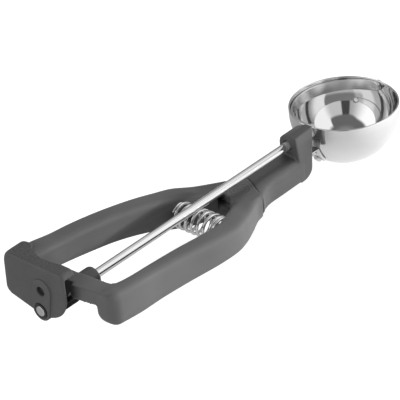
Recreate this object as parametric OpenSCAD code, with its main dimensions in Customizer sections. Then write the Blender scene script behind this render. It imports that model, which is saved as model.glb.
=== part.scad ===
// Lever ice cream scoop: a steel bowl on a two-arm handle. Squeezing the lever arm drives a toothed
// sector over a pinion, which turns the rod and sweeps a thin scraper through the bowl.
// The object stands with its origin on the surface under the middle of its bounding box.
// The modules work in rod coordinates: X along the rod towards the bowl, the bowl's centre at zero.

/* [Bowl] */
// Outer radius of the bowl
bowl_r = 28; // [22:0.5:32]
// Thickness of the bowl's steel
bowl_wall = 1; // [0.8:0.1:1.4]
// Height of the straight collar above the rod's axis
bowl_collar = 3; // [2.6:0.1:5]

/* [Scraper] */
// Width of the scraper band
blade_w = 6; // [4:0.5:8]
// Thickness of the scraper band
blade_t = 0.8; // [0.6:0.1:1]
// Gap between the edge of the scraper and the bowl
blade_gap = 0.25; // [0.2:0.05:0.6]
// Angle that the scraper sweeps through
sweep = 172; // [140:1:174]

/* [Rod] */
// Diameter of the rod
rod_d = 4; // [3.5:0.1:4.2]
// Distance from the bowl's centre to the rear end of the rod
rod_back = 215.5; // [215:0.5:217]

/* [Gearing] */
// Module of the pinion and of the toothed sector
gear_m = 1; // [0.9:0.05:1.05]
// Number of teeth on the pinion
pinion_teeth = 10; // [9:1:10]
// Number of teeth on the sector
sector_teeth = 8; // [7:1:8]
// Play between the flanks of the teeth
backlash = 0.3; // [0.2:0.05:0.5]

/* [Handle] */
// Distance from the bowl's centre to the lever's pivot
pivot_back = 82; // [80:0.5:84]
// Height of the handle's section at the neck
neck_h = 13.5; // [12.5:0.25:14.5]
// Distance from the rod's axis down to the top of the neck
neck_drop = 6; // [5.5:0.25:6.5]
// Width of the neck and of the post that carries the bowl
neck_w = 14; // [12:0.5:15]
// Height of the post above the rod's axis
post_top = 6.5; // [5.5:0.25:8]
// Rise of the fixed arm's top from the neck to the rear
frame_rise = 30; // [29:0.25:30.5]
// Rise of the lever's top from the neck to the rear
lever_rise = 19.4; // [19:0.1:19.8]

/* [Pivot and spring] */
// Diameter of the pivot pin
pivot_d = 5; // [4:0.25:6]
// Radius of the lever's round hub
hub_r = 12.5; // [12:0.25:13]
// Outer diameter of the return spring
spring_d = 13.6; // [12:0.2:14]
// Diameter of the spring's wire
wire_d = 1.4; // [1:0.1:1.6]
// Number of turns of the return spring
spring_turns = 7; // [6:0.5:8]

/* [Fits] */
// Radial clearance of the turning parts
run_fit = 0.05; // [0.02:0.01:0.09]
// Gap between plastic parts that move past each other
move_gap = 0.4; // [0.3:0.05:0.5]

/* [Hidden] */
$fn = 64;

// Steel, plastic and dark plastic as the eye sees them
steel = [0.80, 0.81, 0.82];
grey = [0.27, 0.27, 0.28];
black = [0.08, 0.08, 0.09];

// The scraper's outer radius, so that its edges clear the inside of the bowl
blade_edge = bowl_r - bowl_wall - blade_gap;
blade_out = sqrt(blade_edge * blade_edge - blade_w * blade_w / 4);
blade_in = blade_out - blade_t;
pin_r = 1.6;

// Levels of the handle at the neck
neck_top = -neck_drop;
neck_bottom = neck_top - neck_h;
lap_z = neck_bottom + neck_h * 0.5;

// The post along the rod: slant of its rear face, radius of the arch and the slope that leads to it, roundings
post_front = -bowl_r - 6.5;
post_len = 9;
post_back = post_front - post_len;
post_slant = 1.6;
post_arch = 5.7;
post_lean = 16;
post_round = 8;
post_bottom = neck_bottom - 1.5;
post_edge = 4;

// The pinion and the sector: the sector's pitch line lies at the pinion's pitch radius above the rod
pitch_r = gear_m * pinion_teeth / 2;
addendum = 0.9 * gear_m;
dedendum = 1.15 * gear_m;
pressure = 25;
sector_w = 7.5;
cover_depth = 11;
sector_out = rod_back - pivot_back - cover_depth;
sector_in = sector_out - sector_w;
sector_r = (sector_in + sector_out) / 2;
tooth_angle = 180 * gear_m / sector_r;
lever_swing = sweep * pitch_r / sector_r;
tongue_top = neck_top + lever_rise;
tongue_lead = 2.2;
tongue_tail = 28;
tongue_out = sector_out + 2.5;
web_len = 5.8;
web_round = 8;

// The gear head of the frame, around the pinion
washer_t = 0.5;
head_in = sector_in - move_gap - 0.4;
head_gap = 4;
head_plate = 4.5;
head_out = sector_out + head_gap;
head_back = -pivot_back - head_out - head_plate;
head_web = 3.4;
pinion_back = -pivot_back - head_out + move_gap;
pinion_front = -pivot_back - head_in - washer_t - 0.1;
cross_pin_x = pinion_back + 1.4;
cross_pin_r = 0.75;
head_near = -6.5;
head_far = 19;
web_up = 12;
head_boss = 4.6;
roof_z = tongue_top + 0.9;

// Cover of the gear head: walls, rounded rear edge, raised pad, depth of the near wall and reach of the roof
cover_wall = 1.9;
cover_roof = 3;
cover_edge = 1.5;
cover_pad = 1.2;
cover_back = cover_pad - rod_back;
cover_mouth = cover_back + 1.5;
cover_front = -pivot_back - sector_out + 2;
cover_near_front = cover_front - 5.3;
cover_side_bottom = 8.5;
// Rear view of the cover: centre and radius of the corners at the roof's far and near end and of the lower two
cover_high = [17.3, 18.4, 5.2];
cover_near = [-13.5, 20.8, 2.5];
cover_low = [0, 12, 16];
cover_far = [18, 6.2, 4.5];
// Direction of the line that touches both lower corners, and the angles that each corner covers
cover_apart = norm([cover_far[0] - cover_low[0], cover_far[1] - cover_low[1]]);
cover_slant = 360 + atan2(cover_far[1] - cover_low[1], cover_far[0] - cover_low[0])
              - acos((cover_low[2] - cover_far[2]) / cover_apart);
cover_arcs = [[cover_high, 0, 90], [cover_near, 90, 180], [cover_low, 180, cover_slant],
              [cover_far, cover_slant, 360]];
cover_top = cover_high[1] + cover_high[2];
roof_under = cover_top - cover_roof;
// The roof's front edge runs round the fixed arm's end: centre and radius of the curve in plan
seam_round = [-pivot_back - sector_in + 1, 3, 12.1];

// Lever, fixed arm and neck: for each station how far along the piece it lies, the inner and the outer edge,
// and how much of the rise of the underside and of the top is reached there
lever_round = 6;
lever_len = tongue_out - 2.5 - lever_round;
frame_len = sector_out + 3.5;
neck_len = pivot_back + post_back;
lever_arm = [[-0.023, 2, 12.9, 0, 0], [0.025, 2, 14.4, 0, 0], [0.101, 5.4, 19, 0.03, 0.03],
             [0.186, 10.6, 24, 0.12, 0.15], [0.278, 15.6, 28, 0.25, 0.26], [0.405, 18.3, 29.8, 0.38, 0.41],
             [0.574, 19.8, 30.1, 0.53, 0.57], [0.743, 22, 31.3, 0.70, 0.73],
             [0.878, 24.4, 33.4, 0.85, 0.88], [1, 24.8, 34.6, 1, 1]];
frame_arm = [[-0.032, -3, 13, 0, 0], [0.079, 4.4, 20.2, 0, 0.04], [0.175, 10, 25, 0.06, 0.16],
             [0.262, 12.6, 26.2, 0.16, 0.26], [0.381, 14.2, 26.6, 0.32, 0.39], [0.54, 14.4, 26, 0.5, 0.55],
             [0.698, 12.8, 24.4, 0.68, 0.7], [0.825, 11, 22.8, 0.82, 0.82],
             [0.921, 9, 21.6, 0.93, 0.905], [1, 8, 21, 1, 0.955]];
neck_sides = [[-1.051, -7.2, 7, -1.5, 0], [-0.667, -7.4, 7.2, -1.5, 0], [-0.385, -8, 8.2, -1.1, 0],
              [-0.205, -10.2, 10.8, -0.6, 0], [-0.077, -12.8, 13, 0, 0], [0.103, -12.8, 15, 0, 0]];
seam = 3;
lever_under_rise = 15.4;
frame_under_rise = 29;
arm_square = 0.5;
ring_n = 24;
steps = 3;

// Spring: axis across the handle, between the seats on the two arms
spring_back = 28;
spring_z = -rod_d / 2 - 0.7 - spring_d / 2;
spring_far = 13.2;
spring_near = -14.6;
spring_seat_depth = 6;

// Bearings, pins and screws
bush_r = rod_d / 2 + 1.2;
collar_r = 5;
collar_len = 15;
pivot_cap_r = 6.2;
lug_r = 9.5;
tang_w = 9;
tang_z = -9.5;
tang_front = bowl_r - 2;
tang_hole = post_front - 5;
tang_screw_r = 1.25;
tang_head_r = 2.4;
strap_t = 1.4;
strap_top = asin((-tang_z - strap_t / 2) / (bowl_r + strap_t));
strap_end = 47;
rivet_angles = [26, 39];
rivet_r = 1.3;
screw_z = 11;
screw_y = -1.6;
screw_head_r = 2.2;
screw_r = 1.2;
pad_top = [-2.2, 11.8];
pad_r = 5.6;
boss_r = 5.2;
flange_r = bush_r + 0.5;
flange_t = 0.9;
flange_out = 0.3;

// Where the box of the whole object lies in rod coordinates
end_head = 0.5;
pin_head = 1.1;
box_front = bowl_r + pin_head;
box_back = -rod_back - end_head;
box_far = bowl_r;
box_near = -max([for (s = lever_arm) s[2]]);
origin = [(box_front + box_back) / 2, (box_far + box_near) / 2, -bowl_r];

// Rounded-square power of a sine or cosine
function soft(v, p) = sign(v) * pow(abs(v), p);

// Point between b and c on the curve through a, b, c and d
function curve(a, b, c, d, t) =
    0.5 * (2 * b + (c - a) * t + (2 * a - 5 * b + 4 * c - d) * t * t + (3 * b - a - 3 * c + d) * t * t * t);

// All stations of an arm with the steps between them filled in
function filled(s) =
    let (last = len(s) - 1)
    [for (i = [0 : last - 1], j = [0 : steps - 1])
        curve(s[max(i - 1, 0)], s[i], s[i + 1], s[min(i + 2, last)], j / steps), s[last]];

// Section of an arm at one station: a rounded square on the side of the rod given by side; its outer edge and
// its underside draw in by shrink
function section(s, len, side, under, over, shrink) =
    let (low = neck_bottom + under * s[3] + shrink, high = neck_top + over * s[4],
         inner = s[1], outer = s[2] - shrink, w = (outer - inner) / 2, h = (high - low) / 2)
    [for (i = [0 : ring_n - 1])
        let (a = 360 * i / ring_n)
        [-pivot_back - s[0] * len, side * ((inner + outer) / 2 + w * soft(cos(a), arm_square)),
         (low + high) / 2 + h * soft(sin(a), arm_square)]];

// Sections of an arm, closed by rings that round off its rear end on the outside and underneath
function sections(stations, len, side, under, over, round_r) =
    let (all = filled(stations), tail = all[len(all) - 1])
    [for (s = all) section(s, len, side, under, over, 0),
     for (a = [30 : 30 : 90])
        section([tail[0] + round_r * sin(a) / len, tail[1], tail[2], tail[3], tail[4]],
                len, side, under, over, round_r * (1 - cos(a)))];

// Solid through rings of equally many points; flip turns the faces the right way out
module loft(rings, flip) {
    n = len(rings[0]);
    count = len(rings);
    faces = [
        for (i = [0 : count - 2], j = [0 : n - 1])
            let (a = i * n + j, b = i * n + (j + 1) % n, c = a + n, d = b + n)
            each [[a, b, c], [b, d, c]],
        [for (j = [n - 1 : -1 : 0]) j],
        [for (j = [0 : n - 1]) (count - 1) * n + j]
    ];
    polyhedron([for (r = rings) each r], flip ? [for (f = faces) [for (k = [len(f) - 1 : -1 : 0]) f[k]]] : faces);
}

// Cylinder along X from x0 to x1 at height z and side y
module along_x(x0, x1, r, z = 0, y = 0) {
    translate([x0, y, z]) rotate([0, 90, 0]) cylinder(r = r, h = x1 - x0);
}

// Part of a ring round the lever's pivot, between two angles measured from the line to the pinion
module pivot_ring(r_in, r_out, z0, z1, a0, a1) {
    translate([-pivot_back, 0, z0]) rotate([0, 0, 180 + a0])
        rotate_extrude(angle = a1 - a0, $fn = 180) translate([r_in, 0]) square([r_out - r_in, z1 - z0]);
}

// Round groove that holds an end of the return spring, reaching from the seat at y by depth
module spring_seat(y, depth) {
    translate([-pivot_back - spring_back, y, spring_z]) rotate([-90, 0, 0]) difference() {
        translate([0, 0, min(depth, 0)]) cylinder(r = spring_d / 2 + 0.3, h = abs(depth));
        translate([0, 0, min(depth, 0) - 1]) cylinder(r = spring_d / 2 - wire_d - 0.4, h = abs(depth) + 2);
    }
}

// Frame: neck, post, fixed arm and gear head
module post() {
    // Plan with a slanted rear face, side view with a round lower front corner, and rear view with an arch on the
    // far side of the rod and round lower edges
    half = neck_w / 2;
    intersection() {
        translate([0, 0, post_bottom - 1]) linear_extrude(post_top - post_bottom + 2) polygon([
            [post_back - post_slant, -half - 1], [post_front + 1, -half - 1],
            [post_front + 1, half + 1], [post_back + post_slant, half + 1]]);
        rotate([90, 0, 0]) linear_extrude(neck_w + 2, center = true) polygon([
            [post_front, post_top],
            for (a = [0 : -15 : -90])
                [post_front - post_round + post_round * cos(a), post_bottom + post_round + post_round * sin(a)],
            [post_back - 2 * post_slant, post_bottom], [post_back - 2 * post_slant, post_top]]);
        union() {
            along_x(post_back - 5, post_front + 1, post_arch);
            translate([post_back - 5, 0, 0]) rotate([90, 0, 90]) linear_extrude(post_len + 6) polygon([
                [-half, post_top + 1], [-post_arch / 2, post_top + 1], [-post_arch / 2, post_top],
                [post_arch * sin(post_lean), post_arch * cos(post_lean) - 0.05], [0, 0],
                [post_arch - 0.05, 0], [half, neck_top],
                for (a = [0 : -15 : -90])
                    [half - post_edge + post_edge * cos(a), post_bottom + post_edge + post_edge * sin(a)],
                for (a = [-90 : -15 : -180])
                    [post_edge - half + post_edge * cos(a), post_bottom + post_edge + post_edge * sin(a)]]);
        }
    }
}

module gear_head() {
    // Rear plate with the rear bearing, front web and the long front bearing
    web_front = -pivot_back - head_in;
    intersection() {
        rear_slab(head_back, head_back + head_plate, cover_wall + 0.2);
        translate([head_back - 1, head_near, -rod_back]) cube([head_plate + 2, rod_back, 2 * rod_back]);
    }
    along_x(head_back, head_back + head_plate, head_boss);
    // Web under the tongue, reaching up into the fixed arm
    intersection() {
        rear_slab(web_front, web_front + head_web, cover_wall + 0.2);
        rotate([90, 0, 90]) translate([0, 0, web_front - 1]) linear_extrude(head_web + 2)
            polygon([[1 - collar_r, pitch_r + 0.4], [web_up, pitch_r + 0.4], [web_up, roof_z - 2.4],
                     [head_far - 2, roof_z - 2.4], [head_far, -collar_r], [1 - collar_r, -collar_r]]);
    }
    along_x(web_front, web_front + collar_len, collar_r);
}

module frame() {
    color(grey) difference() {
        union() {
            difference() {
                union() {
                    loft(sections(neck_sides, neck_len, 1, 1, 0, 1), false);
                    loft(sections(frame_arm, frame_len, 1, frame_under_rise, frame_rise, 0.5), false);
                }
                // The lever's side behind the seam
                translate([-2 * pivot_back, -2 * hub_r - lug_r / 2 + 3.75, neck_bottom - 1])
                    cube([pivot_back + seam, 2 * hub_r - 1, neck_h + 2]);
            }
            post();
            translate([-pivot_back, 0, neck_bottom]) cylinder(r = lug_r, h = neck_h / 2);
            gear_head();
        }
        spring_seat(spring_far, -spring_seat_depth);
        // Room for the lever's hub and for the swing of its toothed tongue
        translate([-pivot_back, 0, lap_z]) cylinder(r = hub_r + move_gap, h = neck_h);
        pivot_ring(head_in, tongue_out + move_gap, pitch_r - addendum - move_gap, roof_z, -lever_swing - 7, 20);
        // Rebate for the cover's roof and far wall
        difference() {
            rear_slab(-rod_back, cover_front + 0.1, -2);
            cover_room(0.1);
            seam_cut(0.1);
            translate([-rod_back - 1, -rod_back, -rod_back])
                cube([rod_back, 2 * rod_back, rod_back + cover_side_bottom - 0.1]);
        }
        translate([-pivot_back, 0, neck_bottom - 1]) cylinder(r = pivot_d / 2, h = neck_h);
        translate([-pivot_back, 0, neck_bottom - 1]) cylinder(r = pivot_d / 2 + 2, h = 3);
        along_x(post_back - 2 * post_slant, post_front + 1, bush_r);
        along_x(head_back - 1, -pivot_back - head_out + 1, bush_r);
        along_x(-pivot_back - head_in - 1, -pivot_back - head_in + collar_len + 1, rod_d / 2 + run_fit);
        along_x(head_back - 1, -pivot_back - head_out + 1, screw_r, screw_z, screw_y);
        translate([post_back + 2, -tang_w / 2, tang_z - strap_t / 2]) cube([post_len, tang_w, strap_t]);
        translate([tang_hole, 0, post_bottom + 1]) cylinder(r = tang_screw_r, h = tang_z + 3 - post_bottom);
        translate([tang_hole, 0, post_bottom - 1]) cylinder(r = tang_head_r, h = 3);
    }
}

// Cover over the gear head: back wall with a raised pad, roof, near wall and far wall
module cover_outline(inset) {
    polygon([for (c = cover_arcs, k = [0 : 8])
        let (a = c[1] + (c[2] - c[1]) * k / 8, r = c[0][2] - inset)
        [c[0][0] + r * cos(a), c[0][1] + r * sin(a)]]);
}

module rear_slab(x0, x1, inset) {
    translate([x0, 0, 0]) rotate([90, 0, 90]) linear_extrude(x1 - x0) cover_outline(inset);
}

// Room inside the cover, drawn in by less from its walls
module cover_room(less) {
    far = rod_back / 3;
    intersection() {
        rear_slab(head_back - 0.1 - less, cover_front + 1, cover_wall + less);
        translate([-rod_back, -far, -far]) cube([far, 2 * far, far + roof_under - less]);
    }
}

// Room in front of the roof's edge: straight on the near side and round on the fixed arm's side
module seam_cut(less) {
    far = rod_back / 3;
    translate([seam_round[0], seam_round[1], 0]) cylinder(r = seam_round[2] - less, h = far);
    translate([cover_near_front + less, seam_round[1] - far, 0]) cube([far, far, far]);
}

module gear_cover() {
    far = rod_back / 3;
    side_in = cover_far[0] - cover_far[2];
    color(black) difference() {
        union() {
            for (a = [0 : 30 : 60])
                rear_slab(cover_back + cover_edge * (1 - cos(a)), cover_front, cover_edge * (1 - sin(a + 30)));
            // Raised pad round the screw and the rod
            translate([-rod_back, 0, 0]) rotate([90, 0, 90]) linear_extrude(cover_mouth + rod_back + 0.5) hull() {
                translate(pad_top) circle(pad_r);
                circle(boss_r);
            }
        }
        cover_room(0);
        seam_cut(0);
        // The near wall is shallow, and the far wall ends beside the fixed arm
        translate([cover_mouth, -far, -far]) cube([far, far + side_in, far + roof_under]);
        translate([cover_mouth, 0, -far]) cube([far, far, far + cover_side_bottom]);
        along_x(head_back - 0.1, cover_mouth + 1, head_boss + 0.1);
        along_x(-rod_back - 1, cover_mouth + 1, bush_r);
        along_x(-rod_back - 1, -rod_back + flange_t, flange_r + run_fit);
        along_x(-rod_back - 1, 2 * cover_pad - rod_back, screw_head_r + 0.2, screw_z, screw_y);
        along_x(-rod_back, head_back + 1, screw_r + 0.2, screw_z, screw_y);
    }
}

module cover_screw() {
    color(black) {
        along_x(cover_pad - rod_back, 2 * cover_pad - rod_back, screw_head_r, screw_z, screw_y);
        along_x(2 * cover_pad - rod_back, -pivot_back - head_out - 0.5, screw_r, screw_z, screw_y);
    }
}

// Bush with a bore for the rod
module bush(x0, x1, r) {
    difference() {
        along_x(x0, x1, r);
        along_x(x0 - 1, x1 + 1, rod_d / 2 + run_fit);
    }
}

module rear_bush() {
    color(black) {
        bush(-rod_back, -pivot_back - head_out, bush_r);
        difference() {
            along_x(-rod_back - flange_out, -rod_back + flange_t, flange_r);
            along_x(-rod_back - 1, -rod_back, rod_d / 2 + 0.6);
            along_x(-rod_back - 1, -rod_back + flange_t + 1, rod_d / 2 + run_fit);
        }
    }
}

module front_bush() { color(black) bush(post_back + 1, post_front, bush_r); }
module rod_sleeve() { color(steel) bush(post_front, -bowl_r - 0.3, bush_r + 0.4); }

// Bowl: half a sphere with a straight collar, and holes for the rod and the far pin
module bowl() {
    inner = bowl_r - bowl_wall;
    color(steel) difference() {
        rotate_extrude($fn = 96) {
            intersection() {
                difference() {
                    circle(bowl_r, $fn = 96);
                    circle(inner, $fn = 96);
                }
                translate([0, -bowl_r - 1]) square(bowl_r + 1);
            }
            translate([inner, 0]) square([bowl_wall, bowl_collar]);
        }
        along_x(-bowl_r - 1, 0, rod_d / 2 + run_fit);
        along_x(0, bowl_r + 1, pin_r + run_fit);
        rivet_holes();
    }
}

// Direction of a rivet: an angle below the rod on the near side of the bowl
module at_rivet(angle) { rotate([0, -90 - angle, 0]) children(); }
module rivet_holes() {
    for (a = rivet_angles) at_rivet(a) cylinder(r = rivet_r, h = bowl_r + 5);
}

// Strap that carries the bowl: one bent strip, a tang in the post and a curved foot under the bowl
module bowl_strap() {
    foot = 2 * bowl_r;
    color(steel) difference() {
        rotate([90, 0, 0]) linear_extrude(tang_w, center = true) difference() {
            union() {
                translate([post_back + 2, tang_z - strap_t / 2]) square([-tang_front - post_back - 2, strap_t]);
                intersection() {
                    circle(bowl_r + strap_t, $fn = 96);
                    polygon([[0, 0], [-foot * cos(strap_top), -foot * sin(strap_top)],
                             [-foot * cos(strap_end), -foot * sin(strap_end)]]);
                }
            }
            circle(bowl_r, $fn = 96);
        }
        rivet_holes();
        translate([tang_hole, 0, tang_z - 5]) cylinder(r = tang_screw_r, h = 10);
    }
}

module strap_rivets() {
    color(steel) for (a = rivet_angles) intersection() {
        union() {
            at_rivet(a) cylinder(r = rivet_r, h = bowl_r + strap_t);
            at_rivet(a) translate([0, 0, bowl_r + strap_t]) cylinder(r1 = 2.3, r2 = 1.5, h = 0.8, $fn = 32);
        }
        difference() {
            sphere(bowl_r + 8, $fn = 96);
            sphere(bowl_r - bowl_wall, $fn = 96);
        }
    }
}

module tang_screw() {
    color(steel) translate([tang_hole, 0, 0]) {
        translate([0, 0, post_bottom + 0.4]) cylinder(r = tang_head_r, h = 1.6);
        translate([0, 0, post_bottom + 1]) cylinder(r = tang_screw_r, h = tang_z + 3 - post_bottom);
    }
}

// Pivot of the lever: pin fast in the lower lug, washer between the lugs, plug on top
module pivot_pin() {
    color(steel) translate([-pivot_back, 0, 0]) {
        translate([0, 0, neck_bottom + 0.4]) cylinder(r = pivot_d / 2 + 2, h = 1.6);
        translate([0, 0, neck_bottom + 1]) cylinder(r = pivot_d / 2, h = neck_h - 3);
    }
}

module pivot_washer() {
    color(steel) translate([-pivot_back, 0, lap_z]) difference() {
        cylinder(r = 7, h = 0.5);
        translate([0, 0, -1]) cylinder(r = pivot_d / 2, h = 3);
    }
}

module pivot_cap() {
    color(black) translate([-pivot_back, 0, neck_top - 1.4]) {
        cylinder(r = pivot_cap_r, h = 1);
        difference() {
            cylinder(r = pivot_cap_r, h = 1.4);
            cylinder(r = pivot_cap_r - 1.4, h = 3);
        }
    }
}

// Lever: hub, arm and toothed tongue
module tongue() {
    // The teeth point down at the pinion and run along lines from the pivot
    lead = -tongue_lead / sector_r * 180 / PI;
    tail = tongue_tail / sector_r * 180 / PI;
    pivot_ring(sector_in, tongue_out, pitch_r + dedendum, tongue_top, lead, tail);
    half_tip = gear_m * PI / 4 - addendum * tan(pressure) - backlash / 4;
    sunk = dedendum + 0.3;
    half_root = gear_m * PI / 4 + sunk * tan(pressure) - backlash / 4;
    intersection() {
        pivot_ring(sector_in, sector_out, 0, tongue_top, lead, tail);
        for (k = [0 : sector_teeth - 1])
            translate([-pivot_back, 0, pitch_r]) rotate([0, 0, k * tooth_angle]) rotate([90, 0, -90])
                linear_extrude(sector_out + 2) polygon([
                    [-half_root, sunk], [half_root, sunk], [half_tip, -addendum], [-half_tip, -addendum]]);
    }
}

module lever() {
    color(grey) difference() {
        union() {
            loft(sections(lever_arm, lever_len, -1, lever_under_rise, lever_rise, lever_round), true);
            translate([-pivot_back, 0, lap_z + 0.5]) cylinder(r = hub_r, h = neck_top - lap_z - 0.5);
            tongue();
            // Web that rounds the corner between the tongue and the arm
            difference() {
                translate([-pivot_back - sector_in - 1, -web_round - 19, pitch_r + dedendum])
                    cube([web_len, web_round + 2, tongue_top - pitch_r - dedendum - 0.8]);
                translate([-pivot_back - sector_in + web_round, -web_round - 9, 0])
                    cylinder(r = web_round, h = tongue_top);
            }
        }
        spring_seat(spring_near, spring_seat_depth);
        // Room for the frame's lower lug and neck
        translate([-pivot_back, 0, neck_bottom - 1]) cylinder(r = lug_r + move_gap, h = lap_z - neck_bottom + 1.5);
        translate([seam - 0.3 - pivot_back, -2 * hub_r, neck_bottom - 1])
            cube([3 * hub_r, 4 * hub_r, lap_z - neck_bottom + 1.5]);
        translate([-pivot_back, 0, neck_bottom]) cylinder(r = pivot_d / 2 + run_fit, h = 2 * neck_h);
        translate([-pivot_back, 0, neck_top - 1.4]) cylinder(r = pivot_cap_r, h = 3);
    }
}

// Return spring: closed end turns and an open middle, as a tube along a helix
module return_spring() {
    length = spring_far - spring_near;
    turns_n = 14;
    count = round(spring_turns * turns_n);
    r = spring_d / 2 - wire_d / 2;
    function place(t) = let (lead = wire_d / length, end = 1.2 / spring_turns)
        wire_d / 2 + (length - wire_d) * (t < end ? t * lead * 1.1 / end
            : t > 1 - end ? 1 - (1 - t) * lead * 1.1 / end
            : lead * 1.1 + (t - end) / (1 - 2 * end) * (1 - 2.2 * lead));
    rings = [for (i = [0 : count]) let (t = i / count, a = 360 * spring_turns * t)
        [for (j = [0 : 7]) let (b = 45 * j, q = r + wire_d / 2 * cos(b))
            [-pivot_back - spring_back + q * cos(a), spring_near + place(t) + wire_d / 2 * sin(b),
             spring_z + q * sin(a)]]];
    color(steel) loft(rings, true);
}

// Rod with its peened ends
module rod() {
    color(steel) difference() {
        union() {
            along_x(-rod_back, -blade_in, rod_d / 2);
            along_x(-rod_back - end_head, -rod_back, rod_d / 2 + 0.5);
            along_x(-blade_in, -blade_in + 1.2, rod_d / 2 + 0.8);
        }
        translate([cross_pin_x, 0, 0]) cylinder(r = cross_pin_r, h = 20, center = true);
    }
}

// Involute flank: the point whose tangent length is a degrees of the base circle
function involute(base, a) = [base * (cos(a) + a * PI / 180 * sin(a)), base * (sin(a) - a * PI / 180 * cos(a))];
function turned(p, a) = [p[0] * cos(a) - p[1] * sin(a), p[0] * sin(a) + p[1] * cos(a)];

module pinion_profile() {
    base = pitch_r * cos(pressure);
    tip = pitch_r + addendum;
    root = pitch_r - dedendum;
    // Half the angle of a tooth at the base circle
    roll = sqrt(pow(pitch_r / base, 2) - 1) * 180 / PI;
    half = 90 / pinion_teeth - backlash / 4 / pitch_r * 180 / PI + roll - atan(roll * PI / 180);
    last = sqrt(pow(tip / base, 2) - 1) * 180 / PI;
    union() {
        circle(root, $fn = 48);
        for (k = [0 : pinion_teeth - 1]) {
            flank = [for (i = [0 : 4]) involute(base, last * i / 4)];
            polygon([[0, 0], for (p = flank) turned(p, k * 360 / pinion_teeth - half),
                     for (i = [4 : -1 : 0]) turned([flank[i][0], -flank[i][1]], k * 360 / pinion_teeth + half)]);
        }
    }
}

module pinion() {
    hub_x = pinion_back + 2.8;
    color(black) difference() {
        union() {
            // A gap between two teeth faces up, where the first tooth of the sector sits
            translate([hub_x, 0, 0]) rotate([90, 0, 90]) linear_extrude(pinion_front - hub_x)
                rotate(90 + 180 / pinion_teeth) pinion_profile();
            along_x(pinion_back, hub_x + 0.5, pitch_r - dedendum - 0.25);
        }
        along_x(pinion_back - 1, pinion_front + 1, rod_d / 2);
        translate([cross_pin_x, 0, 0]) cylinder(r = cross_pin_r, h = 20, center = true);
    }
}

module pinion_pin() {
    color(steel) translate([cross_pin_x, 0, 0])
        cylinder(r = cross_pin_r, h = 2 * (pitch_r - dedendum) - 0.9, center = true);
}

module thrust_washer() {
    color(steel) difference() {
        along_x(pinion_front + 0.05, pinion_front + 0.05 + washer_t, pitch_r - dedendum);
        along_x(pinion_front - 1, pinion_front + 2, rod_d / 2 + run_fit);
    }
}

// Scraper: half a ring of thin band between two round ears on the rod's axis
module scraper() {
    rest = -(180 - sweep) / 2;
    ear = blade_w / 2 - 0.2;
    color(steel) difference() {
        union() {
            rotate([rest, 0, 0]) rotate_extrude(angle = 180, $fn = 128)
                translate([blade_in, -blade_w / 2]) square([blade_t, blade_w]);
            along_x(-blade_out, -blade_in, ear);
            along_x(blade_in, blade_out, ear);
        }
        along_x(-blade_out - 1, 0, rod_d / 2);
        along_x(0, blade_out + 1, pin_r);
        // Flat seats for the two peened heads
        along_x(-blade_in, 0, rod_d / 2 + 1.3);
        along_x(0, blade_in, pin_r + 1);
    }
}

module scraper_pin() {
    color(steel) {
        along_x(blade_in - 0.8, blade_in, pin_r + 0.8);
        along_x(blade_in, bowl_r + pin_head, pin_r);
        along_x(bowl_r + 0.1, bowl_r + pin_head, pin_r + 0.9);
    }
}

module placed() { translate(-origin) children(); }

placed() frame();
placed() gear_cover();
placed() cover_screw();
placed() rear_bush();
placed() front_bush();
placed() bowl();
placed() bowl_strap();
placed() strap_rivets();
placed() tang_screw();
placed() rod_sleeve();
placed() pivot_pin();
placed() pivot_washer();
placed() return_spring();
placed() lever();
placed() pivot_cap();
placed() rod();
placed() pinion();
placed() pinion_pin();
placed() thrust_washer();
placed() scraper();
placed() scraper_pin();
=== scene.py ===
"""Looks of a lever ice cream scoop: a polished bowl with a sweeping scraper on a two-arm moulded handle.

Shapes are worked out in rod coordinates, in millimetres: X along the rod towards the bowl, with the bowl's
centre at zero. The fixed arm is on the side of +Y, called far here, and the lever on the near side of -Y.
to_row() turns these coordinates into the row's frame, in metres.
"""

import math

import bmesh
import bpy
import numpy as np
from mathutils import Matrix, Vector


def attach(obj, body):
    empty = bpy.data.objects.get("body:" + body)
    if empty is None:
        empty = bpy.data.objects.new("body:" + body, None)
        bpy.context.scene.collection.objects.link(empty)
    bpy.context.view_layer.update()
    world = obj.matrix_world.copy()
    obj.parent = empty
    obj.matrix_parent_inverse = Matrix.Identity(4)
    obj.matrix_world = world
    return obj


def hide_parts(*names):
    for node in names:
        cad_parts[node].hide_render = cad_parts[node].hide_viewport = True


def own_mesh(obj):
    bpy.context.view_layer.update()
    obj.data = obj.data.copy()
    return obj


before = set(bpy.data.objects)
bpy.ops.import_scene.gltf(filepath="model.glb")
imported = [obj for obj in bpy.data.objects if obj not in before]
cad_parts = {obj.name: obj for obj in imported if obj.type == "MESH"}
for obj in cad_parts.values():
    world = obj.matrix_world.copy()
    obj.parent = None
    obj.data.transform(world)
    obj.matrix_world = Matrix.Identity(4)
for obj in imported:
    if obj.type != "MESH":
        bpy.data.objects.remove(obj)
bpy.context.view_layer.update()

ROD_ORIGIN = np.array([93.45, 3.3, 28.0])
TAU = 2 * math.pi

# Bowl, scraper and rod
BOWL_R, BOWL_WALL, COLLAR = 28.0, 1.0, 3.0
BLADE_OUT, BLADE_T, BLADE_HALF, BLADE_END = 26.58, 0.8, 3.0, 2.8
REST_TILT = math.radians(-4)
ROD_R, ROD_BACK, ROD_FRONT = 2.2, -215.5, -25.78
BUSH_R = 2.6

# Spring between the arms, along Y
SPRING_X, SPRING_Z, SPRING_R, WIRE_R = -110.0, -9.5, 6.2, 0.78
SPRING_FAR, SPRING_NEAR, SPRING_TURNS = 13.6, -14.6, 8.4

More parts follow.
